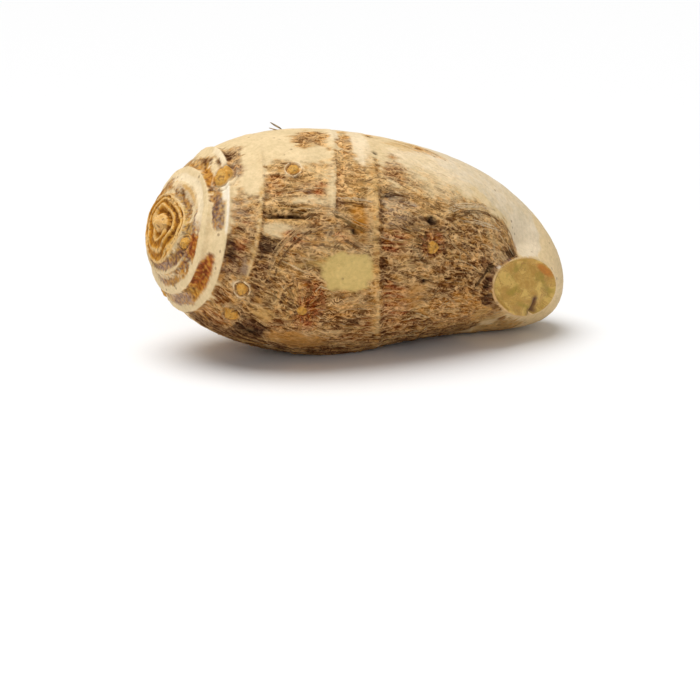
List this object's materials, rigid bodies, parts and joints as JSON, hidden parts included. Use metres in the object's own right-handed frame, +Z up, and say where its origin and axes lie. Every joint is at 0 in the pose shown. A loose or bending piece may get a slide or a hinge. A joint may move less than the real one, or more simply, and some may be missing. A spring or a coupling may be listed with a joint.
{
  "type": "taro root",
  "caption": "Small taro corm lying on its side, with ringed fibrous bark, buds, a stepped growing tip and a round scar at the other end.",
  "frame": {"origin": "on the surface it rests on, under the middle of its box", "axes": "+X along its length towards the scar where it broke from the parent corm, +Z up as it rests, -Y the side that shows the scar's face"},
  "size_m": [0.121, 0.0628, 0.0613],
  "materials": {
    "skin": "dry, matte, fibrous brown bark over cream skin that shows where the bark is rubbed off, with a tan cut scar"
  },
  "bodies": {
    "root": {"taro_root": "skin"}
  },
  "joints": []
}
